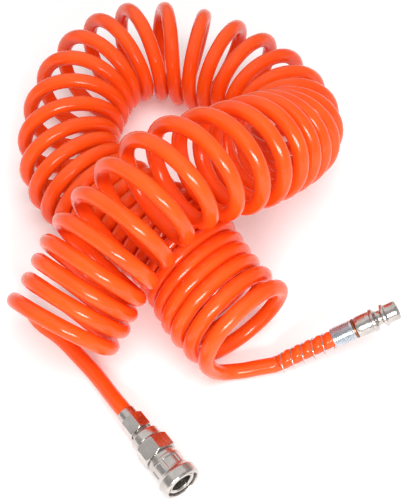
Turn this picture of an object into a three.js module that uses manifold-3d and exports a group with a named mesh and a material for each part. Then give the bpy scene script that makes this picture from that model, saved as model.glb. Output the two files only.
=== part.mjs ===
// Coiled polyurethane air hose with a quick coupling socket at one end and a plug at the other.
// Millimetres, +Z up. The hose lies on the plane z = 0; the origin is the centre of its footprint.
// The socket points along -Y. Stations on a fitting count from the end where the hose enters it.
import * as THREE from 'three';
import { mergeVertices } from 'three/addons/utils/BufferGeometryUtils.js';
import Module from 'manifold-3d';

const wasm = await Module();
wasm.setup();

// ---- Clearances ----
const gap = 0.3;               // between pieces that touch or slide

// ---- Hose ----
const hoseR = 5;               // outside radius of the tube
const hoseBoreR = 3.25;        // inside radius of the tube
const coilR = 36;              // outside radius of the coil
const coilSides = 14;
const leadSides = 10;

// Axis of the coil, from its first turn at the socket's end to its last turn at the plug's end.
const coilAxis = [
  [-114, -38, 36], [-103, -36, 45], [-89, -36, 69], [-67, -38, 97], [-32, -36, 112],
  [5, -39, 106], [38, -34, 89], [63, -24, 70], [86, -10, 50], [101, 18, 37],
  [99, 54, 37], [84, 89, 37], [57, 120, 37], [21, 122, 37], [-12, 102, 37],
  [-37, 73, 37], [-44, 45, 37], [-38, 17, 37], [-30, -8, 37], [-24, -34, 37],
  [-27, -60, 37], [-30, -84, 37], [-29, -103, 37],
];

// ---- Socket ----
const socketTail = [-113, -100.8];

const nutWall = 0.7;
const nutCollarR = hoseR + gap + nutWall;
const nutCollarEnd = 5.8;
const nutLength = 10.7;        // of the hexagon
const nutEnd = nutCollarEnd + nutLength;
const hoseGrip = 9;            // depth of hose inside the nut

const stemClearance = 0.35;    // between the barbs and the hose's bore
const stemWall = 0.9;
const stemR = hoseBoreR - stemClearance;
const stemBoreR = stemR - stemWall;
const barb = 0.25;
const adapterThreadR = 6;
const adapterCollarStart = nutEnd + 3;
const adapterCollarLength = 6.5;
const adapterCollarEnd = adapterCollarStart + adapterCollarLength;
const adapterSpigotR = 6.3;
const adapterSpigotLength = 5.5;
const adapterSpigotEnd = adapterCollarEnd + adapterSpigotLength;
const adapterBoreR = 3.2;
const nutFlats = 2 * (Math.max(hoseR, adapterThreadR) + gap + nutWall);

const oRingWireR = 0.6;
const oRingPocketR = adapterSpigotR + 2 * gap + 2 * oRingWireR;
const oRingPocketEnd = adapterCollarEnd + 2 * gap + 2 * oRingWireR;
const adapterCollarWall = 1.25; // how far the collar reaches past the ring's pocket
const adapterCollarR = oRingPocketR + adapterCollarWall;

const seatStart = adapterCollarEnd + 16.3; // web that the valve closes against
const seatThickness = 2;
const seatEnd = seatStart + seatThickness;
const seatHoleR = 4.8;
const cageBoreR = 6.5;         // takes the plug
const packingStart = seatEnd + 0.7;
const packingLength = 2;
const packingEnd = packingStart + packingLength;
const packingLip = 0.6;        // how far the packing stands into the bore
const packingGroove = 0.8;     // depth of the groove in the bore
const cageWall = 1;
const cageR = Math.max(cageBoreR + packingGroove, adapterSpigotR + gap) + cageWall; // carries the balls
const bodyShoulder = 1.7;      // from the cage out to the flats of the hexagon
const bodyPocketWall = 1.9;    // from the ring's pocket out to the flats
const bodyFlats = 2 * Math.max(cageR + bodyShoulder, oRingPocketR + bodyPocketWall);
const bodyHexLength = 11;
const bodyHexEnd = adapterCollarEnd + bodyHexLength;

const ballCount = 6;
const ballR = 1.4;
const ballReach = 0.4;         // how far a locked ball stands into the bore
const ballLift = ballReach + 0.2; // how far it moves out when the sleeve is pulled back
const ballStation = packingEnd + 2 * ballR + 0.7;
const ballCentreR = cageBoreR - ballReach + ballR;

const valveTubeR = seatHoleR - 0.6;
const valveWall = 1.4;
const valveTubeBoreR = valveTubeR - valveWall;
const valveFlangeR = adapterSpigotR - 0.2;
const valveSealThickness = 0.7;
const valveFlangeEnd = seatStart - 2 * gap - valveSealThickness;
const valveFlangeThickness = 2;
const valveFlangeStart = valveFlangeEnd - valveFlangeThickness;
const valveTubeLength = 8;
const valveTubeEnd = valveFlangeEnd + valveTubeLength;
const valvePortR = 0.9;
const valveSpringR = (adapterBoreR + adapterSpigotR) / 2;
const springWireR = 0.35;
const valveSpringTurns = 3;

const sleeveTravel = 3;
const sleeveGuideEnd = ballStation - ballR - 0.2;
const sleeveGuideThickness = 1;  // rear guide land, which the spring pushes on
const sleeveGuideStart = sleeveGuideEnd - sleeveGuideThickness;
const sleeveStart = bodyHexEnd + gap + sleeveTravel; // free to travel up to the hexagon
const ballLandEnd = ballStation + 0.8;
const releaseStart = ballStation + sleeveTravel - 0.2; // deep recess that lets the balls out
const releaseLength = 2.2;
const sleeveLipStart = releaseStart + releaseLength;
const sleeveLipThickness = 0.8;
const sleeveLipEnd = sleeveLipStart + sleeveLipThickness;
const sleeveSpringR = cageR + gap + springWireR;
const sleeveSpringTurns = 5;
const sleeveWall = 0.85;
const chamberR = sleeveSpringR + springWireR + gap + 0.1; // room for the spring
const sleeveR = Math.max(chamberR, ballCentreR + ballR + gap + 0.5) + sleeveWall;
const sleeveRimStart = ballStation;
const sleeveGrip = 0.5;        // depth of the grip's recess

const snapRingThickness = 0.7;
const snapRingGroove = 0.4;    // how deep it sits in the cage
const snapRingInnerR = cageR - snapRingGroove;
const snapRingWidth = 1.4;
const snapRingR = snapRingInnerR + snapRingWidth;
const snapRingStart = sleeveLipEnd + gap;
const snapRingEnd = snapRingStart + snapRingThickness;
const sleeveMouthR = snapRingR + 3 * gap;
const cageEnd = snapRingEnd + gap + 0.6;
const socketLength = cageEnd + 1;
const rimFlare = 1.95;
const socketRimR = sleeveR + rimFlare; // flared rim, which the socket rests on

// ---- Plug ----
const plugStart = [17.9, -139.7, 21.6];
const plugAngle = -21.8;       // degrees from +X
const plugTilt = 23.7;         // degrees up from level: the stiff hose holds the plug up
const guardLength = 36.5;
const guardTurns = 5;
const guardWireR = 0.5;
const guardClearance = 0.4;    // between the hose and the spring guard at its free end
const guardFlare = 0.5;
const guardSmallR = hoseR + guardClearance + guardWireR; // wire's centre at its free end
const guardLargeR = guardSmallR + guardFlare;            // and where it meets the nut
const plugSpigotR = 4.6;
const plugNutWall = 1.3;
const plugNutR = Math.max(hoseR, plugSpigotR) + gap + plugNutWall;
const plugNutEnd = 14.3;
const plugNutRibs = 9;
const plugNutRibDepth = 0.45;
const plugHoseGrip = 8.4;
const washerThickness = 0.9;
const washerWidth = 1.6;
const washerR = plugSpigotR + gap + washerWidth;
const plugBodyStart = plugNutEnd + 2 * gap + washerThickness;
const plugBodyR = washerR;
const plugBodyLength = 10.7;
const plugCollarStart = plugBodyStart + plugBodyLength;
const plugCollarLength = 2.3;
const plugCollarEnd = plugCollarStart + plugCollarLength;
const plugCollarR = plugBodyR + 0.85;
const plugNeckLength = 5;
const plugNeckEnd = plugCollarEnd + plugNeckLength;
const plugBoreR = 3.75;
const plugNeckWall = 0.7;
const plugNeckR = plugBoreR + plugNeckWall;
const plugLandLength = 2.1;
const plugLandEnd = plugNeckEnd + plugLandLength;
const plugLandR = 7.25;
const plugNoseR = 6.1;         // goes into the bore of another socket
const plugNoseLength = 8;
const plugEnd = plugLandEnd + plugNoseLength;

// ---- Uncoiled hose, from each fitting to the coil ----
const socketLead = [
  [-112.6, -88, 10.4], [-111.8, -79, 7.8], [-111.2, -70, 6], [-111.2, -60, 5.4],
  [-112.2, -47, 5.4], [-113.8, -30, 5.4], [-116.5, -20, 6], [-119.5, -13, 10],
];
const plugLead = [
  [-58, -111.2, 23], [-52.5, -111.3, 12.5], [-44.5, -113, 6.4], [-35, -117.5, 5.5], [-25, -122, 5.5],
];

// ---- Materials ----
const orange = { color: 0xff4a1c, roughness: 0.25, metalness: 0 };
const nickel = { color: 0xc9c6c2, roughness: 0.25, metalness: 1 };
const zinc = { color: 0xb9c0c8, roughness: 0.35, metalness: 1 };
const steel = { color: 0xa9abad, roughness: 0.3, metalness: 1 };
const copper = { color: 0x8a4a2a, roughness: 0.4, metalness: 1 };
const rubber = { color: 0x1c1c1e, roughness: 0.8, metalness: 0 };

function node(name, geometry, look) {
  const mesh = new THREE.Mesh(geometry, new THREE.MeshStandardMaterial(look));
  mesh.name = name;
  return mesh;
}

// A turned piece: its outline is a closed list of [radius, station] points.
function turned(outline, segments = 24) {
  const points = outline.map(([radius, station]) => new THREE.Vector2(radius, station));
  points.push(points[0].clone());
  return new THREE.LatheGeometry(points, segments);
}

function toSolid(geometry) {
  const plain = geometry.clone();
  plain.deleteAttribute('normal');
  plain.deleteAttribute('uv');
  const merged = mergeVertices(plain, 1e-4);
  return new wasm.Manifold(new wasm.Mesh({
    numProp: 3,
    vertProperties: new Float32Array(merged.attributes.position.array),
    triVerts: new Uint32Array(merged.index.array),
  }));
}

function toGeometry(solid) {
  const mesh = solid.getMesh();
  const geometry = new THREE.BufferGeometry();
  geometry.setAttribute('position', new THREE.BufferAttribute(new Float32Array(mesh.vertProperties), 3));
  geometry.setIndex(new THREE.BufferAttribute(new Uint32Array(mesh.triVerts), 1));
  geometry.computeVertexNormals();
  return geometry;
}

function cut(geometry, tools) {
  let solid = toSolid(geometry);
  for (const tool of tools) {
    solid = solid.subtract(toSolid(tool));
  }
  return toGeometry(solid);
}

// Keep only what lies inside a hexagonal bar of the given width across flats.
function hexed(geometry, flats, from, to) {
  const bar = new THREE.CylinderGeometry(flats / Math.sqrt(3), flats / Math.sqrt(3), to - from, 6);
  bar.translate(0, (from + to) / 2, 0);
  return toGeometry(toSolid(geometry).intersect(toSolid(bar)));
}

function joined(first, second) {
  return toGeometry(toSolid(first).add(toSolid(second)));
}

function circle(radius, sides) {
  const corners = [];
  for (let i = 0; i < sides; i += 1) {
    const angle = 2 * Math.PI * i / sides;
    corners.push(new THREE.Vector2(radius * Math.cos(angle), radius * Math.sin(angle)));
  }
  return new THREE.Shape(corners);
}

function sweep(curve, radius, sides, steps) {
  return new THREE.ExtrudeGeometry(circle(radius, sides), { steps, extrudePath: curve });
}

function smoothPath(points) {
  const vectors = points.map((point) => new THREE.Vector3(...point));
  return new THREE.CatmullRomCurve3(vectors, false, 'centripetal');
}

// A helical spring about the station axis, from one station to another.
class SpringCurve extends THREE.Curve {
  constructor(fromStation, toStation, fromR, toR, turns) {
    super();
    Object.assign(this, { fromStation, toStation, fromR, toR, turns });
  }

  getPoint(t, target = new THREE.Vector3()) {
    const angle = 2 * Math.PI * this.turns * t;
    const radius = this.fromR + (this.toR - this.fromR) * t;
    const station = this.fromStation + (this.toStation - this.fromStation) * t;
    return target.set(radius * Math.cos(angle), station, radius * Math.sin(angle));
  }
}

function spring(fromStation, toStation, fromR, toR, turns, wireR) {
  const curve = new SpringCurve(fromStation, toStation, fromR, toR, turns);
  return sweep(curve, wireR, 6, Math.round(turns * 14));
}

// A ring of radial pins, used to drill holes round a turned piece.
function radialPins(count, radius, station, length) {
  const pins = [];
  for (let i = 0; i < count; i += 1) {
    const pin = new THREE.CylinderGeometry(radius, radius, length, 10);
    pin.rotateZ(Math.PI / 2);
    pin.translate(length / 2, station, 0);
    pin.rotateY(2 * Math.PI * i / count);
    pins.push(pin);
  }
  return pins;
}

// ---- Socket pieces ----
function hoseNut() {
  const entryR = hoseR + gap;
  const threadR = adapterThreadR + gap;
  const hexR = nutFlats / Math.sqrt(3);
  const collar = turned([[entryR, 0], [nutCollarR - 0.4, 0], [nutCollarR, 0.6],
    [nutCollarR, nutCollarEnd + 1],
    [entryR, nutCollarEnd + 1]]);
  const hex = turned([[entryR, nutCollarEnd], [nutFlats / 2, nutCollarEnd], [hexR, nutCollarEnd + 0.7],
    [hexR, nutEnd - 0.7], [nutFlats / 2, nutEnd], [threadR, nutEnd], [threadR, hoseGrip],
    [entryR, hoseGrip]]);
  return joined(collar, hexed(hex, nutFlats, nutCollarEnd, nutEnd));
}

function hoseEnd(depth) {
  return turned([[hoseBoreR, 0], [hoseR, 0], [hoseR, depth - gap], [hoseBoreR, depth - gap]], 20);
}

function tailAdapter() {
  return turned([[stemBoreR, 1], [stemR - barb, 1], [stemR, 3], [stemR - barb, 3.2], [stemR, 5.2],
    [stemR - barb, 5.4], [stemR, 7.4], [stemR - barb, hoseGrip], [stemR - barb, hoseGrip + gap],
    [adapterThreadR, hoseGrip + gap], [adapterThreadR, adapterCollarStart],
    [adapterCollarR - 0.5, adapterCollarStart], [adapterCollarR, adapterCollarStart + 0.8],
    [adapterCollarR, adapterCollarEnd - gap], [adapterSpigotR, adapterCollarEnd - gap],
    [adapterSpigotR, adapterSpigotEnd], [adapterBoreR, adapterSpigotEnd],
    [adapterBoreR, adapterCollarStart], [stemBoreR, adapterCollarStart - 1.5]]);
}

function oRing(middleR, station, wireR) {
  const ring = new THREE.TorusGeometry(middleR, wireR, 8, 24);
  ring.rotateX(Math.PI / 2);
  ring.translate(0, station, 0);
  return ring;
}

function socketBody() {
  const hexR = bodyFlats / Math.sqrt(3);
  const counterboreR = adapterSpigotR + gap;
  const grooveR = cageBoreR + packingGroove;
  const grooveFrom = packingStart - gap;
  const grooveTo = packingEnd + gap;
  const ringSeatR = snapRingInnerR - gap;
  const outline = turned([[oRingPocketR, adapterCollarEnd], [bodyFlats / 2, adapterCollarEnd],
    [hexR, adapterCollarEnd + 1], [hexR, bodyHexEnd - 1], [bodyFlats / 2, bodyHexEnd], [cageR, bodyHexEnd],
    [cageR, snapRingStart - gap], [ringSeatR, snapRingStart - gap],
    [ringSeatR, snapRingEnd + gap], [cageR, snapRingEnd + gap],
    [cageR, cageEnd], [cageBoreR + 0.8, cageEnd], [cageBoreR, cageEnd - 0.8], [cageBoreR, grooveTo],
    [grooveR, grooveTo], [grooveR, grooveFrom], [cageBoreR, grooveFrom], [cageBoreR, seatEnd],
    [seatHoleR, seatEnd], [seatHoleR, seatStart], [counterboreR, seatStart],
    [counterboreR, oRingPocketEnd], [oRingPocketR, oRingPocketEnd]]);
  const bar = new THREE.CylinderGeometry(hexR, hexR, cageEnd - adapterCollarEnd, 6);
  bar.translate(0, (cageEnd + adapterCollarEnd) / 2, 0);
  const shaped = toGeometry(toSolid(outline).intersect(toSolid(bar)));
  return cut(shaped, radialPins(ballCount, ballR + gap, ballStation, cageR + 2));
}

function snapRing() {
  return turned([[snapRingInnerR, snapRingStart], [snapRingR, snapRingStart],
    [snapRingR, snapRingEnd], [snapRingInnerR, snapRingEnd]]);
}

function packingSeal() {
  const outerR = cageBoreR + packingGroove - gap;
  const packingInnerR = cageBoreR - packingLip;
  return turned([[packingInnerR, packingStart], [outerR, packingStart], [outerR, packingEnd],
    [packingInnerR + 0.3, packingEnd], [packingInnerR, packingEnd - 0.5]]);
}

function valve() {
  const shell = turned([[0, valveFlangeStart], [valveFlangeR, valveFlangeStart],
    [valveFlangeR, valveFlangeEnd],
    [valveTubeR, valveFlangeEnd], [valveTubeR, valveTubeEnd], [valveTubeBoreR, valveTubeEnd],
    [valveTubeBoreR, valveFlangeEnd], [0, valveFlangeEnd]]);
  return cut(shell, radialPins(4, valvePortR, (seatStart + seatEnd) / 2, valveTubeR + 1));
}

function valveSeal() {
  const from = valveFlangeEnd + gap;
  return turned([[valveTubeR + gap, from], [valveFlangeR - gap, from],
    [valveFlangeR - gap, from + valveSealThickness], [valveTubeR + gap, from + valveSealThickness]]);
}

function sleeve() {
  const guideR = cageR + gap;
  const landR = ballCentreR + ballR + gap;
  const releaseR = landR + ballLift + 0.1;
  return turned([[chamberR, sleeveStart], [sleeveR - 0.4, sleeveStart], [sleeveR, sleeveStart + 0.5],
    [sleeveR, sleeveStart + 2], [sleeveR - sleeveGrip, sleeveStart + 2.4],
    [sleeveR - sleeveGrip, sleeveRimStart - 2.4],
    [sleeveR, sleeveRimStart - 2], [sleeveR, sleeveRimStart], [socketRimR - 0.4, sleeveRimStart + 1.4],
    [socketRimR, sleeveRimStart + 2], [socketRimR, socketLength - 0.8], [socketRimR - 0.8, socketLength],
    [sleeveMouthR, socketLength], [sleeveMouthR, sleeveLipEnd], [guideR, sleeveLipEnd],
    [guideR, sleeveLipStart], [releaseR, sleeveLipStart], [releaseR, releaseStart], [landR, ballLandEnd],
    [landR, sleeveGuideEnd], [guideR, sleeveGuideEnd], [guideR, sleeveGuideStart],
    [chamberR, sleeveGuideStart]], 32);
}

function buildSocket() {
  const socket = new THREE.Group();
  socket.add(node('hose_nut', hoseNut(), nickel));
  socket.add(node('hose_end_socket', hoseEnd(hoseGrip), orange));
  socket.add(node('tail_adapter', tailAdapter(), nickel));
  socket.add(node('body_o_ring', oRing(adapterSpigotR + gap + oRingWireR,
    adapterCollarEnd + gap + oRingWireR, oRingWireR), rubber));
  socket.add(node('socket_body', socketBody(), nickel));
  socket.add(node('packing_seal', packingSeal(), rubber));
  socket.add(node('valve', valve(), nickel));
  socket.add(node('valve_seal', valveSeal(), rubber));
  socket.add(node('valve_spring', spring(adapterSpigotEnd + gap + springWireR,
    valveFlangeStart - gap - springWireR, valveSpringR, valveSpringR, valveSpringTurns, springWireR),
    steel));
  socket.add(node('sleeve', sleeve(), nickel));
  socket.add(node('sleeve_spring', spring(bodyHexEnd + gap + springWireR,
    sleeveGuideStart - gap - springWireR, sleeveSpringR, sleeveSpringR, sleeveSpringTurns, springWireR),
    steel));
  socket.add(node('snap_ring', snapRing(), steel));
  for (let i = 0; i < ballCount; i += 1) {
    const angle = 2 * Math.PI * i / ballCount;
    const ball = node(`lock_ball_${i + 1}`, new THREE.IcosahedronGeometry(ballR, 1), steel);
    ball.position.set(ballCentreR * Math.cos(angle), ballStation, -ballCentreR * Math.sin(angle));
    socket.add(ball);
  }
  socket.position.set(socketTail[0], socketTail[1], socketRimR);
  socket.rotation.z = Math.PI;
  return socket;
}

// ---- Plug pieces ----
function ribbedNut() {
  const entryR = hoseR + gap;
  const threadR = plugSpigotR + gap;
  const outline = [[entryR, 0]];
  const rib = (plugNutEnd - 1.6) / plugNutRibs;
  outline.push([plugNutR - plugNutRibDepth, 0]);
  for (let i = 0; i < plugNutRibs; i += 1) {
    outline.push([plugNutR, 0.8 + rib * (i + 0.35)]);
    outline.push([plugNutR - plugNutRibDepth, 0.8 + rib * (i + 0.9)]);
  }
  outline.push([plugNutR - plugNutRibDepth, plugNutEnd], [threadR, plugNutEnd], [threadR, plugHoseGrip],
    [entryR, plugHoseGrip]);
  return turned(outline);
}

function copperWasher() {
  const from = plugNutEnd + gap;
  return turned([[plugSpigotR + gap, from], [washerR, from], [washerR, from + washerThickness],
    [plugSpigotR + gap, from + washerThickness]]);
}

function plugBody() {
  return turned([[stemBoreR, 1], [stemR - barb, 1], [stemR, 3], [stemR - barb, 3.2], [stemR, 5.2],
    [stemR - barb, 5.4], [stemR, 7.4], [stemR - barb, plugHoseGrip], [stemR - barb, plugHoseGrip + gap],
    [plugSpigotR, plugHoseGrip + gap], [plugSpigotR, plugBodyStart], [plugBodyR - 0.3, plugBodyStart],
    [plugBodyR, plugBodyStart + 0.5], [plugBodyR, plugCollarStart - 2.5],
    [plugBodyR - 1.2, plugCollarStart - 0.6],
    [plugCollarR - 0.4, plugCollarStart], [plugCollarR, plugCollarStart + 0.5],
    [plugCollarR, plugCollarEnd - 0.4],
    [plugNeckR + 0.6, plugCollarEnd + 1.2], [plugNeckR, plugCollarEnd + 2], [plugNeckR, plugNeckEnd - 1.5],
    [plugLandR, plugNeckEnd], [plugLandR, plugLandEnd], [plugNoseR, plugLandEnd + 0.4],
    [plugNoseR, plugEnd - 1.2], [plugNoseR - 0.9, plugEnd], [plugBoreR, plugEnd],
    [plugBoreR, plugCollarStart], [stemBoreR, plugCollarStart - 3]]);
}

function buildPlug() {
  const plug = new THREE.Group();
  plug.add(node('spring_guard', spring(-guardLength, -gap - guardWireR, guardSmallR, guardLargeR,
    guardTurns, guardWireR), steel));
  plug.add(node('hose_end_plug', hoseEnd(plugHoseGrip), orange));
  plug.add(node('ribbed_nut', ribbedNut(), zinc));
  plug.add(node('copper_washer', copperWasher(), copper));
  plug.add(node('plug_body', plugBody(), nickel));
  plug.position.set(...plugStart);
  plug.rotation.set(THREE.MathUtils.degToRad(plugTilt), 0, THREE.MathUtils.degToRad(plugAngle - 90), 'ZYX');
  return plug;
}

// ---- Hose ----
function buildHose() {
  const hose = new THREE.Group();
  const socketEntry = [socketTail[0], socketTail[1] + gap, socketRimR];
  const socketStub = [socketTail[0], socketTail[1] + 4.8, socketRimR - 0.2];
  const heading = THREE.MathUtils.degToRad(plugAngle);
  const climb = THREE.MathUtils.degToRad(plugTilt);
  const plugAlong = [Math.cos(climb) * Math.cos(heading), Math.cos(climb) * Math.sin(heading), Math.sin(climb)];
  const along = (distance) => plugStart.map((value, k) => value + distance * plugAlong[k]);
  const socketPath = smoothPath([socketEntry, socketStub, ...socketLead]);
  const plugPath = smoothPath([...plugLead, along(-40), along(-32), along(-16), along(-gap)]);
  hose.add(node('hose_lead_socket', sweep(socketPath, hoseR, leadSides, 22), orange));
  hose.add(node('hose_coil', sweep(smoothPath(coilAxis), coilR, coilSides, 56), orange));
  hose.add(node('hose_lead_plug', sweep(plugPath, hoseR, leadSides, 20), orange));
  return hose;
}

const airHose = new THREE.Group();
airHose.add(buildHose());
airHose.add(buildSocket());
airHose.add(buildPlug());

export default airHose;
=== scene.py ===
import math

import bmesh
import bpy
import numpy as np
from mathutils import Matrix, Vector


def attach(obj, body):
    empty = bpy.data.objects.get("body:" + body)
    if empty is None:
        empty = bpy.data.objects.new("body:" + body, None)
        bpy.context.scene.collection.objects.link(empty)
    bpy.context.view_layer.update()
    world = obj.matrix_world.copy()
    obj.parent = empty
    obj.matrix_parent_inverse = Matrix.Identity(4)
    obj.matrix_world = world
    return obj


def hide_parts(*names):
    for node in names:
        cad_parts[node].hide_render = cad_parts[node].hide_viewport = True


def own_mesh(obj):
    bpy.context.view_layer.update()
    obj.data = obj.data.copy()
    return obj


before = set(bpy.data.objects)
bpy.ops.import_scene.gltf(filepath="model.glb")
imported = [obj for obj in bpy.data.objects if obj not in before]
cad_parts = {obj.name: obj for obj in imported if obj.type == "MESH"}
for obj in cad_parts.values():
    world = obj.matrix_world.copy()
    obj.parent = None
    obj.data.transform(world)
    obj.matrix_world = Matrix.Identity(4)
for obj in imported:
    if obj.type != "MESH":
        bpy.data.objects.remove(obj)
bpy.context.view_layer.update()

# Coiled air hose on a pale floor. Metres, in the CAD model's frame: +Z up, the socket points along -Y.
MM = 0.001
ROOT = "hose_and_fittings"

# ---------------------------------------------------------------- camera
# Angles in degrees, lens and sensor in mm, the rest in metres.
CAMERA_AZIMUTH = -36.7
CAMERA_ELEVATION = 55.0
CAMERA_DISTANCE = 0.8497
CAMERA_TARGET = Vector((0.001, -0.024, 0.0))
CAMERA_LENS = 90.83
SENSOR_WIDTH = 36.0
CLIP_START, CLIP_END = 0.05, 20.0


def direction(azimuth, elevation):
    """Unit vector from the object towards a viewer at that azimuth and elevation, in degrees."""
    a, e = math.radians(azimuth), math.radians(elevation)
    return Vector((math.sin(a) * math.cos(e), -math.cos(a) * math.cos(e), math.sin(e)))


def add_object(name, data):
    """A new object in the scene that shows that data."""
    obj = bpy.data.objects.new(name, data)
    bpy.context.scene.collection.objects.link(obj)
    return obj


def make_camera():
    """The photograph's view: aimed at the target, level, with no shift and no depth of field."""
    data = bpy.data.cameras.new("camera")
    data.lens = CAMERA_LENS
    data.sensor_width = SENSOR_WIDTH
    data.clip_start, data.clip_end = CLIP_START, CLIP_END
    camera = add_object("camera", data)
    back = direction(CAMERA_AZIMUTH, CAMERA_ELEVATION)
    camera.location = CAMERA_TARGET + back * CAMERA_DISTANCE
    camera.rotation_mode = "QUATERNION"
    camera.rotation_quaternion = (-back).to_track_quat("-Z", "Y")
    bpy.context.scene.camera = camera


make_camera()

# ---------------------------------------------------------------- hose route
HOSE_DIAMETER = 0.010
# Where the hose enters the socket's nut and the plug's nut, and how far it goes in.
SOCKET_TAIL = np.array((-0.113, -0.1008, 0.0125))
PLUG_START = np.array((0.0179, -0.1397, 0.0216))
HOSE_GRIP = 0.0078
# The plug points away from the hose and up off the floor.
PLUG_HEADING, PLUG_TILT = math.radians(-21.8), math.radians(23.7)
PLUG_ALONG = np.array((
    math.cos(PLUG_TILT) * math.cos(PLUG_HEADING),
    math.cos(PLUG_TILT) * math.sin(PLUG_HEADING),
    math.sin(PLUG_TILT),
))

# Axis of the coil: turn number, place in mm, and where the turn faces: heading and tilt in degrees.
COIL_AXIS = np.array((
    (0.5, -122.3, -40.3, 33.4, 17.5, 28), (2, -104.8, -38.2, 46.9, 14, 28), (4, -89, -36, 68, 12, 24),
    (6, -67, -38, 95, 8, 15), (8, -32, -36, 111, 5, 4), (10, 5, -39, 105, 5, -10),
    (12, 38, -34, 88, 11, -19), (14, 63, -24, 69, 24, -19), (16, 86, -10, 49, 44, -14),
    (18, 101, 18, 37, 70, -7), (20, 99, 54, 36, 97, -2), (22, 84, 89, 36, 125, 0),
    (24, 57, 120, 36, 163, -3), (26, 21, 122, 36, 191, -2), (28, -12, 102, 36, 226, -2),
    (30, -37, 73, 36, 254, -9), (32, -44, 45, 36, 270, -11), (34.5, -38, 17, 36, 273, -10),
    (37, -30, -8, 36, 274, -9), (39.5, -24, -34, 36, 274, -9), (42, -27, -60, 36, 274, -9),
    (44.25, -30, -84, 37, 274, -8), (46.5, -27, -114, 36, 272, -5),
), float)
# Radius of the turns, to the middle of the hose: turn number, mm.
TURN_RADIUS = ((0.5, 32.2), (6, 32.4), (11, 31.1), (28, 30.8), (36, 30.9), (46.5, 32.7))
FIRST_TURN, LAST_TURN = 0.68, 46.33
POINTS_PER_TURN = 36

# The free stretches between the coil and the fittings, in mm.
SOCKET_LEAD = (
    (-113, -96, 12.3), (-112.6, -88, 10.4), (-111.8, -79, 7.8), (-111.2, -70, 6),
    (-111.2, -60, 5.4), (-112.2, -47, 5.4), (-113.8, -30, 5.4), (-116.5, -20, 6),
    (-119.5, -13, 10),
)
PLUG_LEAD = (
    (-50.5, -111.3, 11), (-43.5, -113, 6.2), (-35, -117.5, 5.5), (-25, -122, 5.5),
)
# Straight run into the plug: distances from its start along its axis.
PLUG_RUN = (-0.040, -0.032, -0.016, 0.0, HOSE_GRIP)
# Distance between two rings of the hose, and how many points a smooth curve has for each point given.
ROUTE_STEP = 0.0045
FINE_POINTS = 8


def natural_spline(knots, values, at):
    """Smooth curve through values at knots, with free ends, read at the given places."""
    step = np.diff(knots)
    count = len(knots)
    matrix = np.zeros((count, count))
    right = np.zeros((count, values.shape[1]))
    matrix[0, 0] = matrix[-1, -1] = 1.0
    for i in range(1, count - 1):
        matrix[i, i - 1:i + 2] = step[i - 1], 2 * (step[i - 1] + step[i]), step[i]
        right[i] = 6 * ((values[i + 1] - values[i]) / step[i] - (values[i] - values[i - 1]) / step[i - 1])
    bend = np.linalg.solve(matrix, right)
    i = np.clip(np.searchsorted(knots, at) - 1, 0, count - 2)
    h = step[i][:, None]
    a = (knots[i + 1] - at)[:, None]
    b = (at - knots[i])[:, None]
    return (bend[i] * a**3 / (6 * h) + bend[i + 1] * b**3 / (6 * h)
            + (values[i] / h - bend[i] * h / 6) * a + (values[i + 1] / h - bend[i + 1] * h / 6) * b)


def coil_points():
    """The helix: each turn is a circle round the axis that leans and faces as the axis list says."""
    count = int(round((LAST_TURN - FIRST_TURN) * POINTS_PER_TURN))
    turn = np.linspace(FIRST_TURN, LAST_TURN, count + 1)
    rows = natural_spline(COIL_AXIS[:, 0], COIL_AXIS[:, 1:], turn)
    heading, tilt = np.radians(rows[:, 3]), np.radians(rows[:, 4])
    facing = np.stack((np.cos(tilt) * np.cos(heading), np.cos(tilt) * np.sin(heading), np.sin(tilt)), 1)
    side = np.cross(facing, (0.0, 0.0, 1.0))
    side /= np.linalg.norm(side, axis=1)[:, None]
    top = np.cross(side, facing)
    radius = np.interp(turn, *zip(*TURN_RADIUS))[:, None]
    angle = (2 * math.pi * turn)[:, None]
    return (rows[:, :3] + radius * (np.cos(angle) * top + np.sin(angle) * side)) * MM


def spaced(points, step):
    """The same route as points an even step apart, on one smooth curve through them."""
    gaps = np.linalg.norm(np.diff(points, axis=0), axis=1)
    along = np.r_[0.0, np.cumsum(np.sqrt(gaps))]
    fine = natural_spline(along, points, np.linspace(0, along[-1], len(points) * FINE_POINTS))
    length = np.r_[0.0, np.cumsum(np.linalg.norm(np.diff(fine, axis=0), axis=1))]
    wanted = np.linspace(0, length[-1], int(round(length[-1] / step)) + 1)
    return np.stack([np.interp(wanted, length, fine[:, k]) for k in range(3)], 1)


def hose_route():
    """The hose's whole middle line, from inside the socket's nut to inside the plug's nut."""
    socket_inside = SOCKET_TAIL + np.array((0, -HOSE_GRIP, 0))
    start = [socket_inside, SOCKET_TAIL] + [np.array(p) * MM for p in SOCKET_LEAD]
    end = [np.array(p) * MM for p in PLUG_LEAD]
    end += [PLUG_START + PLUG_ALONG * d for d in PLUG_RUN]
    return spaced(np.vstack((start, coil_points(), end)), ROUTE_STEP)


def frames_along(path):
    """Two directions across the path at each point, turned as little as possible from one to the next."""
    tangent = np.gradient(path, axis=0)
    tangent /= np.linalg.norm(tangent, axis=1)[:, None]
    side = np.empty_like(path)
    first = np.cross(tangent[0], (0.0, 0.0, 1.0))
    side[0] = first / np.linalg.norm(first)
    for i in range(1, len(path)):
        turned = side[i - 1] - tangent[i] * (side[i - 1] @ tangent[i])
        side[i] = turned / np.linalg.norm(turned)
    return side, np.cross(tangent, side)


def mesh_object(name, vertices, faces, smooth=True):
    """A new object with those vertices and faces."""
    mesh = bpy.data.meshes.new(name)
    mesh.from_pydata([tuple(v) for v in vertices], [], faces)
    mesh.update()
    if smooth:
        mesh.shade_smooth()
    return add_object(name, mesh)


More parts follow.
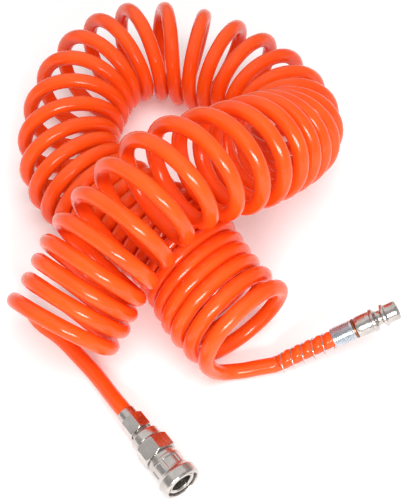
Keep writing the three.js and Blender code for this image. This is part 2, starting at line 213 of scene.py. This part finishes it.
def tube(name, path, radius, sides):
    """A closed round tube. Its UV map holds metres along the path and the share of the way round."""
    side, other = frames_along(path)
    angle = np.arange(sides) * 2 * math.pi / sides
    ring = np.cos(angle)[None, :, None] * side[:, None] + np.sin(angle)[None, :, None] * other[:, None]
    vertices = (path[:, None] + radius * ring).reshape(-1, 3)
    faces = []
    for i in range(len(path) - 1):
        for k in range(sides):
            a, b = i * sides + k, i * sides + (k + 1) % sides
            faces.append((a, b, b + sides, a + sides))
    faces.append(tuple(range(sides - 1, -1, -1)))
    faces.append(tuple(range((len(path) - 1) * sides, len(path) * sides)))
    obj = mesh_object(name, vertices, faces)
    length = np.r_[0.0, np.cumsum(np.linalg.norm(np.diff(path, axis=0), axis=1))]
    uv = np.zeros((len(obj.data.loops), 2))
    row = 0
    for i in range(len(path) - 1):
        for k in range(sides):
            from_u, to_u = length[i], length[i + 1]
            from_v, to_v = k / sides, (k + 1) / sides
            uv[row:row + 4] = (from_u, from_v), (from_u, to_v), (to_u, to_v), (to_u, from_v)
            row += 4
    layer = obj.data.uv_layers.new(name="along")
    layer.data.foreach_set("uv", uv.ravel().astype(np.float32))
    return obj


route = hose_route()

# ---------------------------------------------------------------- fittings
SEGMENTS = 96
CORNER_STEPS = 3
# A rounded corner takes at most this share of the edges beside it.
CORNER_SHARE = 0.4
# Spacing in mm of the extra points on a piece that is cut to a hexagon.
HEXAGON_STEP = 0.25
# Points closer than the first, in metres, become one, and an edge shorter than the second goes.
SAME_POINT, NO_LENGTH = 1e-6, 1e-7
# An edge looks crisp where its faces meet at more than this angle.
SHARP_ANGLE = math.radians(35)


class Place:
    """Where a fitting stands: stations count along it from its start, x to its side and z up."""

    def __init__(self, start, along):
        self.start = np.asarray(start, float)
        self.along = np.asarray(along, float)
        self.side = np.cross(self.along, (0.0, 0.0, 1.0))
        self.side /= np.linalg.norm(self.side)
        self.up = np.cross(self.side, self.along)

    def points(self, x, station, z):
        """Points in metres for places in mm."""
        x, station, z = (np.asarray(v, float)[..., None] * MM for v in (x, station, z))
        return self.start + x * self.side + station * self.along + z * self.up

    def stations(self, points):
        """Station, radius and angle round the axis of points in metres: mm, mm and radians."""
        offset = (points - self.start) / MM
        x, station, z = offset @ self.side, offset @ self.along, offset @ self.up
        return station, np.hypot(x, z), np.arctan2(z, x)


SOCKET = Place(SOCKET_TAIL, (0.0, -1.0, 0.0))
PLUG = Place(PLUG_START, PLUG_ALONG)


def towards(corner, other, radius):
    """The point at which the curve round corner meets the edge to other."""
    edge = other - corner
    length = np.linalg.norm(edge)
    return corner + edge * (min(radius, CORNER_SHARE * length) / length)


def rounded(outline, radius):
    """The closed outline with each corner turned into a small curve."""
    points = [np.array(p, float) for p in outline]
    result = []
    for i, corner in enumerate(points):
        start = towards(corner, points[i - 1], radius)
        end = towards(corner, points[(i + 1) % len(points)], radius)
        for t in np.linspace(0, 1, CORNER_STEPS + 1):
            result.append((1 - t)**2 * start + 2 * t * (1 - t) * corner + t**2 * end)
    return np.array(result)


def turned(name, place, outline, corner=0.2, flats=None):
    """A turned piece: a closed outline of (radius, station) in mm, cut to a hexagon if flats is given."""
    profile = rounded(outline, corner)
    if not flats:
        return revolved(name, place, profile, SEGMENTS)

    def within_hexagon(radius, angle, station):
        limit = flats / 2 / np.cos(((angle - math.pi / 2) % (math.pi / 3)) - math.pi / 6)
        return np.minimum(radius, limit)

    return revolved(name, place, with_steps(profile, HEXAGON_STEP), SEGMENTS, within_hexagon)


def revolved(name, place, profile, segments, reshape=None):
    """The profile carried round the fitting's axis. reshape, if given, makes new radii of the radii."""
    angle = np.arange(segments) * 2 * math.pi / segments + math.pi / 2
    radius = np.repeat(profile[:, 0][:, None], segments, 1)
    station = np.repeat(profile[:, 1][:, None], segments, 1)
    if reshape:
        radius = reshape(radius, angle, station)
    points = place.points(radius * np.cos(angle), station, radius * np.sin(angle)).reshape(-1, 3)
    return grid_object(name, points, len(profile), segments)


def with_steps(profile, step):
    """The closed profile with extra points on long stretches, about a step in mm apart."""
    result = []
    for i, point in enumerate(profile):
        following = profile[(i + 1) % len(profile)]
        count = max(1, int(np.linalg.norm(following - point) / step))
        for t in range(count):
            result.append(point + (following - point) * t / count)
    return np.array(result)


def grid_object(name, points, rows, columns):
    """A closed ring of rows, each a closed ring of columns."""
    faces = []
    for i in range(rows):
        for k in range(columns):
            a, b = i * columns + k, i * columns + (k + 1) % columns
            c, d = (i + 1) % rows * columns + (k + 1) % columns, (i + 1) % rows * columns + k
            faces.append((a, b, c, d))
    obj = mesh_object(name, points, faces)
    tidy_mesh(obj)
    return obj


def tidy_mesh(obj):
    """Points in one place become one, faces point outwards, and real edges stay crisp."""
    mesh = bmesh.new()
    mesh.from_mesh(obj.data)
    bmesh.ops.remove_doubles(mesh, verts=mesh.verts, dist=SAME_POINT)
    bmesh.ops.dissolve_degenerate(mesh, edges=mesh.edges, dist=NO_LENGTH)
    bmesh.ops.recalc_face_normals(mesh, faces=mesh.faces)
    mesh.to_mesh(obj.data)
    mesh.free()
    obj.data.shade_smooth()
    obj.data.set_sharp_from_angle(angle=SHARP_ANGLE)


POINTS_PER_LOOP = 28
WIRE_SIDES = 12
# The last loop of a hanging spring hangs this much less than the first.
HANG_LOSS = 0.4


def spring(name, place, start, end, radii, turns, wire, hang=(0.0, 0.0)):
    """A wire coil between two stations, in mm. radii are its first and last radius and wire is the wire's.

    hang moves its first loop sideways and up, and the loops after it a little less.
    """
    t = np.linspace(0, 1, int(turns * POINTS_PER_LOOP) + 1)
    angle = 2 * math.pi * turns * t
    radius = radii[0] + (radii[1] - radii[0]) * t
    station = start + (end - start) * t
    sag = 1 - HANG_LOSS * t
    x = radius * np.cos(angle) + hang[0] * sag
    z = radius * np.sin(angle) + hang[1] * sag
    return tube(name, place.points(x, station, z), wire * MM, WIRE_SIDES)


def piece(obj, body, slot, *nodes):
    """obj rides on that body and stands for those CAD nodes. slot is not used."""
    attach(obj, body)
    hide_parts(*nodes)
    return obj


THREAD_RADIUS, THREAD_DEPTH, THREAD_PITCH = 6.0, 0.5, 1.0
THREAD_START, THREAD_TURNS = 9.4, 9
# Where in each pitch the crest of the thread begins and ends.
CREST_START, CREST_END = 0.35, 0.65


def thread():
    """The zigzag outline of the adapter's screw thread, as rings."""
    root = THREAD_RADIUS - THREAD_DEPTH
    outline = []
    for i in range(THREAD_TURNS):
        outline.append((root, THREAD_START + THREAD_PITCH * i))
        outline.append((THREAD_RADIUS, THREAD_START + THREAD_PITCH * (i + CREST_START)))
        outline.append((THREAD_RADIUS, THREAD_START + THREAD_PITCH * (i + CREST_END)))
    outline.append((root, THREAD_START + THREAD_PITCH * THREAD_TURNS))
    return outline


# Widths across the flats of the two hexagons.
HOSE_NUT_FLATS, BODY_FLATS = 14, 20


def make_hose_nut():
    """Round collar that the hose enters, then a hexagon."""
    outline = [
        (5.3, 0), (6.0, 0), (6.0, 5.8), (7.1, 5.8), (8.08, 6.5), (8.08, 15.8), (7.1, 16.5),
        (6.3, 16.5), (6.3, 9), (5.3, 9),
    ]
    return turned("nut_of_socket", SOCKET, outline, corner=0.25, flats=HOSE_NUT_FLATS)


def make_tail_adapter():
    """Barbed stem inside the hose, screw thread, round collar and the spigot that enters the body."""
    outline = [(2.0, 1), (2.65, 1), (2.9, 3), (2.65, 3.2), (2.9, 5.2), (2.65, 5.4), (2.9, 7.4), (2.65, 9.3)]
    outline += thread()
    outline += [
        (5.5, 19.5), (8.9, 19.5), (9.35, 20.1), (9.35, 25.2), (8.9, 25.7), (6.3, 25.7), (6.3, 31.5),
        (3.2, 31.5), (3.2, 19.5), (2.0, 18),
    ]
    return turned("adapter_of_socket", SOCKET, outline, corner=0.15)


BALL_COUNT = 6
BALL_RADIUS = 1.4
BALL_SEGMENTS, BALL_RINGS = 32, 20
# Where the balls' centres lie: station along the socket and distance from its axis.
BALL_STATION = 50.5
BALL_CIRCLE = 7.5
# Radius and sides of a ball's hole in mm, and depth of the drill's cut in metres.
BALL_HOLE = 1.7
HOLE_SIDES = 24
HOLE_DEPTH = 0.0045


def ball_angle(i):
    """Where ball i sits: the first is on the side towards -X, and they go round downwards from there."""
    return -2 * math.pi * i / BALL_COUNT


def ball_centre(i):
    """Where the middle of ball i is, in metres."""
    angle = ball_angle(i)
    return Vector(SOCKET.points(BALL_CIRCLE * math.cos(angle), BALL_STATION, BALL_CIRCLE * math.sin(angle)))


def make_drills():
    """One cylinder for each ball hole, all in one object."""
    drills = bmesh.new()
    for i in range(BALL_COUNT):
        angle = ball_angle(i)
        out = Vector(SOCKET.points(math.cos(angle), 0, math.sin(angle)) - SOCKET.start).normalized()
        turn = out.to_track_quat("Z", "Y").to_matrix().to_4x4()
        turn.translation = ball_centre(i)
        bmesh.ops.create_cone(drills, cap_ends=True, segments=HOLE_SIDES, radius1=BALL_HOLE * MM,
                              radius2=BALL_HOLE * MM, depth=HOLE_DEPTH, matrix=turn)
    data = bpy.data.meshes.new("drills")
    drills.to_mesh(data)
    drills.free()
    return add_object("drills", data)


def make_socket_body():
    """Hexagon and barrel, with the bore, the seal's groove, the snap ring's groove and the ball holes."""
    outline = [
        (8.1, 26), (10.0, 26), (11.55, 27.1), (11.55, 35.9), (10.0, 37), (8.5, 37.1), (8.5, 37.8),
        (9.3, 37.9), (9.3, 41), (8.3, 41), (8.3, 56.3), (7.6, 56.3), (7.6, 57.6), (8.3, 57.6), (8.3, 58.2),
        (7.3, 58.2), (6.5, 57.4), (6.5, 47.3), (7.3, 47.3), (7.3, 44.7), (6.5, 44.7), (6.5, 44.3),
        (4.8, 44.3), (4.8, 42.3), (6.6, 42.3), (6.6, 27.8), (8.1, 27.8),
    ]
    body = turned("body_of_socket", SOCKET, outline, corner=0.15, flats=BODY_FLATS)
    tool = make_drills()
    cut = body.modifiers.new("ball_holes", "BOOLEAN")
    cut.operation, cut.solver, cut.object = "DIFFERENCE", "EXACT", tool
    apply_modifiers(body)
    bpy.data.objects.remove(tool)
    body.data.set_sharp_from_angle(angle=SHARP_ANGLE)
    return body


def apply_modifiers(obj):
    """The object's mesh becomes what its modifiers make of it."""
    graph = bpy.context.evaluated_depsgraph_get()
    shaped = bpy.data.meshes.new_from_object(obj.evaluated_get(graph))
    obj.modifiers.clear()
    obj.data = shaped


GRIP_PADS = 6
GRIP_DEPTH = 0.5
GRIP_TURN = math.radians(37)
# A pocket between two pads: half its width, its stations, and the width of its sloping edges.
POCKET_HALF, POCKET_SLOPE = math.radians(24), math.radians(1.6)
POCKET_START, POCKET_END, POCKET_RAMP = 42.6, 49.2, 0.35
# Only the sleeve's outside has pockets: what lies further out than this.
GRIP_INSIDE = 10.4
SLEEVE_SEGMENTS = 240
SLEEVE_STEP = 0.3


def with_grip(radius, angle, station):
    """The sleeve's radii with shallow pockets between the pads of its grip."""
    period = 2 * math.pi / GRIP_PADS
    across = np.abs((angle - GRIP_TURN + period / 2) % period - period / 2)
    inside = np.clip((POCKET_HALF - across) / POCKET_SLOPE, 0, 1)
    from_start = np.clip((station - POCKET_START) / POCKET_RAMP, 0, 1)
    from_end = np.clip((POCKET_END - station) / POCKET_RAMP, 0, 1)
    return radius - np.where(radius > GRIP_INSIDE, GRIP_DEPTH * inside * (from_start * from_end), 0)


def make_sleeve():
    """Barrel with a milled grip and a flared rim, room for its spring and a lip that holds the balls in."""
    outline = [
        (9.6, 40.3), (10.1, 40.3), (10.55, 40.8), (10.55, 50.0), (10.9, 50.5), (12.1, 51.9), (12.5, 52.6),
        (12.5, 57.9), (12.0, 58.7), (11.3, 59.2), (10.5, 59.2), (10.2, 58.7), (10.2, 56.3), (8.6, 56.3),
        (8.6, 55.5), (9.9, 55.5), (9.9, 53.3), (9.2, 51.3), (9.2, 48.9), (8.6, 48.9), (8.6, 47.9),
        (9.6, 47.9),
    ]
    profile = with_steps(rounded(outline, radius=0.25), SLEEVE_STEP)
    return revolved("sleeve_of_socket", SOCKET, profile, SLEEVE_SEGMENTS, with_grip)


def make_ball(i):
    """One lock ball at its place: a pole on top, rings of points downwards, and the other pole."""
    centre, radius = ball_centre(i), BALL_RADIUS * MM
    vertices = [centre + Vector((0, 0, radius))]
    for ring in range(1, BALL_RINGS):
        down = math.pi * ring / BALL_RINGS
        for k in range(BALL_SEGMENTS):
            turn = 2 * math.pi * k / BALL_SEGMENTS
            out = Vector((math.sin(down) * math.cos(turn), math.sin(down) * math.sin(turn), math.cos(down)))
            vertices.append(centre + out * radius)
    vertices.append(centre - Vector((0, 0, radius)))
    bottom = len(vertices) - 1
    last_ring = bottom - BALL_SEGMENTS
    faces = []
    for k in range(BALL_SEGMENTS):
        beside = (k + 1) % BALL_SEGMENTS
        faces.append((0, 1 + k, 1 + beside))
        for upper in range(1, last_ring, BALL_SEGMENTS):
            lower = upper + BALL_SEGMENTS
            faces.append((upper + k, lower + k, lower + beside, upper + beside))
        faces.append((bottom, last_ring + beside, last_ring + k))
    return mesh_object(f"ball_{i + 1}", vertices, faces)


NUT_RIBS = 10
RIBS_START, RIB_PITCH = 0.85, 1.26
RIB_FOOT, RIB_TOP = 5.95, 6.6
# Where the top of a rib begins and ends, from its foot.
TOP_START, TOP_END = 0.42, 0.72


def make_ribbed_nut():
    """Nut with ribs all along it, which clamps the hose on the plug's stem."""
    outline = [(5.3, 0), (6.0, 0), (6.4, 0.5)]
    for i in range(NUT_RIBS):
        foot = RIBS_START + RIB_PITCH * i
        outline += [(RIB_FOOT, foot), (RIB_TOP, foot + TOP_START), (RIB_TOP, foot + TOP_END)]
    outline += [(6.15, 13.8), (6.15, 14.3), (4.9, 14.3), (4.9, 8.4), (5.3, 8.4)]
    return turned("ribbed_nut_of_plug", PLUG, outline, corner=0.2)


def make_plug_body():
    """Barbed stem, domed body, two collars with a neck between them, and the hollow nose."""
    outline = [
        (2.0, 0.93), (2.65, 0.93), (2.9, 2.79), (2.65, 2.98), (2.9, 4.84), (2.65, 5.02), (2.9, 6.88),
        (2.65, 8.65), (4.6, 8.65), (4.6, 15.72), (5.9, 15.72), (6.45, 16.37), (6.7, 18.14), (6.75, 23.71),
        (6.5, 25.67), (6.35, 26.23), (7.3, 26.51), (7.35, 28.55), (6.4, 29.02), (5.1, 29.76), (4.55, 30.88),
        (4.45, 32.74), (5.4, 33.39), (7.2, 33.95), (7.25, 35.71), (6.3, 36.18), (6.05, 37.01), (6.05, 42.69),
        (5.5, 43.9), (4.6, 43.9), (3.9, 43.34), (3.75, 42.32), (3.75, 26.51), (2.0, 23.71),
    ]
    return turned("body_of_plug", PLUG, outline, corner=0.3)


# The spring guard: stations, turns, first and last radius, the wire's radius, and how far it hangs.
GUARD_START, GUARD_END, GUARD_TURNS = -36.5, -0.8, 5.0
GUARD_RADII, GUARD_WIRE, GUARD_HANG = (6.3, 6.2), 0.45, (0.85, -0.85)
HOSE_SIDES = 24
# Near the plug each of the last steps of the route is cut into finer ones.
LAST_STEPS, FINER = 10, 11
# The hose swells between the guard's loops and is pressed in under them, on one side more than the other.
BEAD_HEIGHT, BEAD_GROOVE = 0.75, 0.35
BEAD_EVEN, BEAD_UNEVEN, BEAD_SIDE = 0.65, 0.35, 0.75 * math.pi
# It fades in and out over one part in this many of the guard's length.
BEAD_FADE = 12
# What lies further from the plug's axis than this is another stretch of the hose.
BEAD_REACH = 7


def make_hose():
    """The hose, with finer rings and a soft bead between the guard's loops near the plug."""
    last = len(route) - 1
    steps = np.linspace(last - LAST_STEPS, last, LAST_STEPS * FINER + 1)
    fine = np.stack([np.interp(steps, np.arange(len(route)), route[:, k]) for k in range(3)], 1)
    path = np.vstack((route[:last - LAST_STEPS], fine))
    made = tube("air_hose", path, HOSE_DIAMETER / 2, HOSE_SIDES)
    place = np.array([vertex.co[:] for vertex in made.data.vertices])
    station, radius, angle = PLUG.stations(place)
    near = (station > GUARD_START) & (station < GUARD_END) & (radius < BEAD_REACH)
    share = np.clip((station - GUARD_START) / (GUARD_END - GUARD_START), 0, 1)
    bead = np.sin(math.pi * (share * GUARD_TURNS - angle / (2 * math.pi)))**2
    side = BEAD_EVEN + BEAD_UNEVEN * np.cos(angle - BEAD_SIDE)
    wave = (BEAD_HEIGHT * bead - BEAD_GROOVE * (1 - bead)) * side
    fade = np.clip(share * BEAD_FADE, 0, 1) * np.clip((1 - share) * BEAD_FADE, 0, 1)
    grow = np.where(near, wave * fade, 0) * MM
    outward = np.cos(angle)[:, None] * PLUG.side + np.sin(angle)[:, None] * PLUG.up
    place += outward * grow[:, None]
    made.data.vertices.foreach_set("co", place.ravel())
    made.data.update()
    return made


SNAP_RING_OUTLINE = [(7.9, 56.6), (9.3, 56.6), (9.3, 57.3), (7.9, 57.3)]
PACKING_OUTLINE = [(5.9, 45.0), (7.0, 45.0), (7.0, 47.0), (6.2, 47.0), (5.9, 46.5)]
VALVE_OUTLINE = [
    (1.2, 39.2), (5.9, 39.0), (6.1, 39.3), (6.1, 41), (4.2, 41), (4.2, 48.6), (3.9, 49), (3.1, 49),
    (2.8, 48.6), (2.8, 41.4), (1.2, 40.9),
]
WASHER_OUTLINE = [(4.9, 14.5), (6.4, 14.5), (6.4, 15.6), (4.9, 15.6)]
# The inner springs: first and last station, first and last radius, turns, and the wire's radius.
SLEEVE_SPRING = (41.65, 47.25, (8.95, 8.95), 4, 0.35)
VALVE_SPRING = (32.15, 38.35, (4.6, 4.6), 3, 0.35)

hose = make_hose()
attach(hose, ROOT)

nut = piece(make_hose_nut(), ROOT, "nickel", "hose_nut")
adapter = piece(make_tail_adapter(), ROOT, "nickel", "tail_adapter")
body = piece(make_socket_body(), ROOT, "nickel", "socket_body")
sleeve = piece(make_sleeve(), "sleeve", "nickel", "sleeve")
snap_ring = piece(turned("snap_ring_of_socket", SOCKET, SNAP_RING_OUTLINE, corner=0.15),
                  ROOT, "spring_steel", "snap_ring")
packing = piece(turned("packing_of_socket", SOCKET, PACKING_OUTLINE, corner=0.2),
                ROOT, "seal_rubber", "packing_seal")
valve = piece(turned("valve_of_socket", SOCKET, VALVE_OUTLINE, corner=0.15), "valve", "nickel", "valve")
balls = [
    piece(make_ball(i), f"lock_ball_{i + 1}", "spring_steel", f"lock_ball_{i + 1}")
    for i in range(BALL_COUNT)
]
sleeve_spring = piece(spring("spring_of_sleeve", SOCKET, *SLEEVE_SPRING),
                      ROOT, "spring_steel", "sleeve_spring")
valve_spring = piece(spring("spring_of_valve", SOCKET, *VALVE_SPRING), ROOT, "spring_steel", "valve_spring")
ribbed_nut = piece(make_ribbed_nut(), ROOT, "zinc", "ribbed_nut")
washer = piece(turned("washer_of_plug", PLUG, WASHER_OUTLINE, corner=0.3), ROOT, "copper", "copper_washer")
plug_body = piece(make_plug_body(), ROOT, "nickel", "plug_body")
guard = piece(spring("guard_of_plug", PLUG, GUARD_START, GUARD_END, GUARD_RADII, GUARD_TURNS, GUARD_WIRE,
                     hang=GUARD_HANG),
              ROOT, "spring_steel", "spring_guard")

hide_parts("hose_coil", "hose_lead_socket", "hose_lead_plug", "hose_end_socket", "hose_end_plug")

# ---------------------------------------------------------------- materials
# A colour Mix node has its two colours in these sockets, and its result in this one.
MIX_FIRST, MIX_SECOND, MIX_RESULT = 6, 7, 2


class Shader:
    """A node material with one Principled shader and short calls to add nodes."""

    def __init__(self, name, **sockets):
        self.material = bpy.data.materials.new(name)
        self.material.use_nodes = True
        self.tree = self.material.node_tree
        self.shader = self.tree.nodes["Principled BSDF"]
        for socket, value in sockets.items():
            self.shader.inputs[socket.replace("_", " ")].default_value = value

    def node(self, kind, inputs=None, **settings):
        """A new node with those inputs plugged in."""
        made = self.tree.nodes.new(kind)
        for key, value in settings.items():
            setattr(made, key, value)
        for key, value in (inputs or {}).items():
            self.plug(value, made.inputs[key])
        return made

    def plug(self, value, socket):
        """Links a node's output to the socket, or sets a plain value on it."""
        if isinstance(value, bpy.types.NodeSocket):
            self.tree.links.new(value, socket)
        else:
            socket.default_value = value

    def noise(self, place, scale, detail=3.0, roughness=0.5):
        """A cloudy number from 0 to 1, finer where scale is larger."""
        return self.node("ShaderNodeTexNoise", {"Vector": place, "Scale": scale, "Detail": detail,
                                                "Roughness": roughness}).outputs["Fac"]

    def between(self, amount, low, high, start=0.3, end=0.7):
        """A number from low to high as amount goes from start to end."""
        return self.node("ShaderNodeMapRange", {"Value": amount, "From Min": start, "From Max": end,
                                                "To Min": low, "To Max": high}).outputs["Result"]

    def mix(self, amount, first, second):
        """A colour from first to second."""
        made = self.node("ShaderNodeMix", data_type="RGBA")
        self.plug(amount, made.inputs["Factor"])
        self.plug(first, made.inputs[MIX_FIRST])
        self.plug(second, made.inputs[MIX_SECOND])
        return made.outputs[MIX_RESULT]

    def bump(self, height, strength, distance, under=None):
        """A surface raised by height, on top of the bumps under it if there are any."""
        inputs = {"Height": height, "Strength": strength, "Distance": distance}
        if under is not None:
            inputs["Normal"] = under
        return self.node("ShaderNodeBump", inputs).outputs["Normal"]

    def place(self):
        """Where a point is on the object, in metres."""
        return self.node("ShaderNodeTexCoord").outputs["Object"]


ORANGE = (0.96, 0.078, 0.006, 1)
ORANGE_LIGHTER = (0.98, 0.104, 0.010, 1)
ORANGE_LINE = (0.90, 0.062, 0.005, 1)
# How often the drawn lines come per metre along the hose and per turn round it.
LINES_ALONG, LINES_ROUND = 6.0, 60.0


def hose_material():
    """Glossy polyurethane: deep orange, a little uneven, with drawn lines along it and faint scuffs."""
    s = Shader("polyurethane", IOR=1.45, Specular_IOR_Level=0.36)
    place = s.place()
    along = s.node("ShaderNodeUVMap", uv_map="along").outputs["UV"]
    stretch = (LINES_ALONG, LINES_ROUND, 1.0)
    stretched = s.node("ShaderNodeMapping", {"Vector": along, "Scale": stretch}).outputs["Vector"]
    lines = s.noise(stretched, scale=1.0, detail=4.0, roughness=0.6)
    cloud = s.noise(place, scale=38.0, detail=2.0)
    scuffs = s.noise(place, scale=420.0, detail=5.0, roughness=0.65)
    colour = s.mix(s.between(cloud, low=0.0, high=1.0), ORANGE, ORANGE_LIGHTER)
    colour = s.mix(s.between(lines, low=0.0, high=0.25), colour, ORANGE_LINE)
    s.plug(colour, s.shader.inputs["Base Color"])
    s.plug(s.between(scuffs, low=0.16, high=0.26, start=0.45, end=0.75), s.shader.inputs["Roughness"])
    fine = s.bump(lines, strength=0.10, distance=0.0002)
    s.plug(s.bump(scuffs, strength=0.05, distance=0.0001, under=fine), s.shader.inputs["Normal"])
    return s.material


def metal_material(name, light, dark, smooth, rough):
    """Metal that changes a little in tone and gloss, with fine pits."""
    s = Shader(name, Metallic=1.0)
    place = s.place()
    cloud = s.noise(place, scale=160.0)
    pits = s.noise(place, scale=900.0, detail=4.0, roughness=0.6)
    s.plug(s.mix(s.between(cloud, low=0.0, high=1.0), light, dark), s.shader.inputs["Base Color"])
    s.plug(s.between(pits, low=smooth, high=rough, start=0.35, end=0.7), s.shader.inputs["Roughness"])
    s.plug(s.bump(pits, strength=0.25, distance=0.00006), s.shader.inputs["Normal"])
    return s.material


RUBBER_DARK, RUBBER_LIGHT = (0.012, 0.012, 0.013, 1), (0.03, 0.03, 0.032, 1)


def rubber_material():
    """Matt black rubber with a fine grain."""
    s = Shader("seal_rubber", IOR=1.5)
    grain = s.noise(s.place(), scale=1500.0)
    s.plug(s.mix(grain, RUBBER_DARK, RUBBER_LIGHT), s.shader.inputs["Base Color"])
    s.plug(s.between(grain, low=0.45, high=0.7), s.shader.inputs["Roughness"])
    s.plug(s.bump(grain, strength=0.2, distance=0.00005), s.shader.inputs["Normal"])
    return s.material


def dress(material, *objects):
    """Those objects wear that material and no other."""
    for obj in objects:
        obj.data.materials.clear()
        obj.data.materials.append(material)


polyurethane = hose_material()
nickel = metal_material("nickel_plate", light=(0.60, 0.56, 0.53, 1), dark=(0.49, 0.455, 0.43, 1),
                        smooth=0.18, rough=0.30)
zinc = metal_material("zinc_plate", light=(0.66, 0.70, 0.74, 1), dark=(0.54, 0.58, 0.62, 1),
                      smooth=0.22, rough=0.36)
steel = metal_material("spring_wire", light=(0.66, 0.64, 0.63, 1), dark=(0.54, 0.53, 0.52, 1),
                       smooth=0.15, rough=0.28)
copper = metal_material("copper_ring", light=(0.42, 0.17, 0.08, 1), dark=(0.25, 0.09, 0.04, 1),
                        smooth=0.30, rough=0.5)
rubber = rubber_material()

dress(polyurethane, hose)
dress(nickel, nut, adapter, body, sleeve, valve, plug_body)
dress(zinc, ribbed_nut)
dress(steel, snap_ring, sleeve_spring, valve_spring, guard, *balls)
dress(copper, washer)
dress(rubber, packing)
for name in ("body_o_ring", "valve_seal"):
    dress(rubber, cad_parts[name])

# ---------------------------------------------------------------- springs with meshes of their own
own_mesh(sleeve_spring)
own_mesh(valve_spring)

# ---------------------------------------------------------------- floor and light
FLOOR_HALF = 3.0
# The floor touches the lowest point of the hose, which dips a little below the frame's zero.
FLOOR_HEIGHT = -0.0006
LIGHT_TARGET = Vector((0.0, 0.0, 0.05))
WORLD_STRENGTH = 0.46


def make_floor():
    """A pale floor that is part of the picture and not of the object."""
    corners = [(x * FLOOR_HALF, y * FLOOR_HALF, 0) for x, y in ((-1, -1), (1, -1), (1, 1), (-1, 1))]
    floor = mesh_object("floor", corners, [(0, 1, 2, 3)], smooth=False)
    floor.location.z = FLOOR_HEIGHT
    s = Shader("floor", Base_Color=(0.92, 0.92, 0.92, 1), Roughness=0.7, Emission_Color=(1, 1, 1, 1),
               Emission_Strength=0.15)
    dress(s.material, floor)


def area_light(name, azimuth, elevation, distance, size, power, glossy=True, diffuse=True):
    """A rectangular light that faces the object. It shows as gloss, lights surfaces, or does both."""
    data = bpy.data.lights.new(name, "AREA")
    data.shape = "RECTANGLE"
    data.size, data.size_y = size
    data.energy = power
    lamp = add_object(name, data)
    lamp.visible_glossy = glossy
    lamp.visible_diffuse = diffuse
    away = direction(azimuth, elevation)
    lamp.location = LIGHT_TARGET + away * distance
    lamp.rotation_mode = "QUATERNION"
    lamp.rotation_quaternion = away.to_track_quat("Z", "Y")


def make_world():
    """Even white light from all round."""
    world = bpy.data.worlds.new("studio")
    world.use_nodes = True
    background = world.node_tree.nodes["Background"]
    background.inputs["Color"].default_value = (1.0, 1.0, 1.0, 1)
    background.inputs["Strength"].default_value = WORLD_STRENGTH
    bpy.context.scene.world = world


make_floor()
make_world()
area_light("key", azimuth=-30, elevation=28, distance=1.1, size=(0.30, 0.12), power=5.0, glossy=False)
area_light("top", azimuth=-20, elevation=70, distance=1.4, size=(0.9, 0.9), power=14.0, glossy=False)
area_light("window", azimuth=-30, elevation=28, distance=1.1, size=(0.50, 0.22), power=14.0, diffuse=False)
area_light("ceiling", azimuth=180, elevation=50, distance=1.6, size=(3.2, 2.4), power=13.0, diffuse=False)
bpy.context.scene.view_settings.view_transform = "Standard"
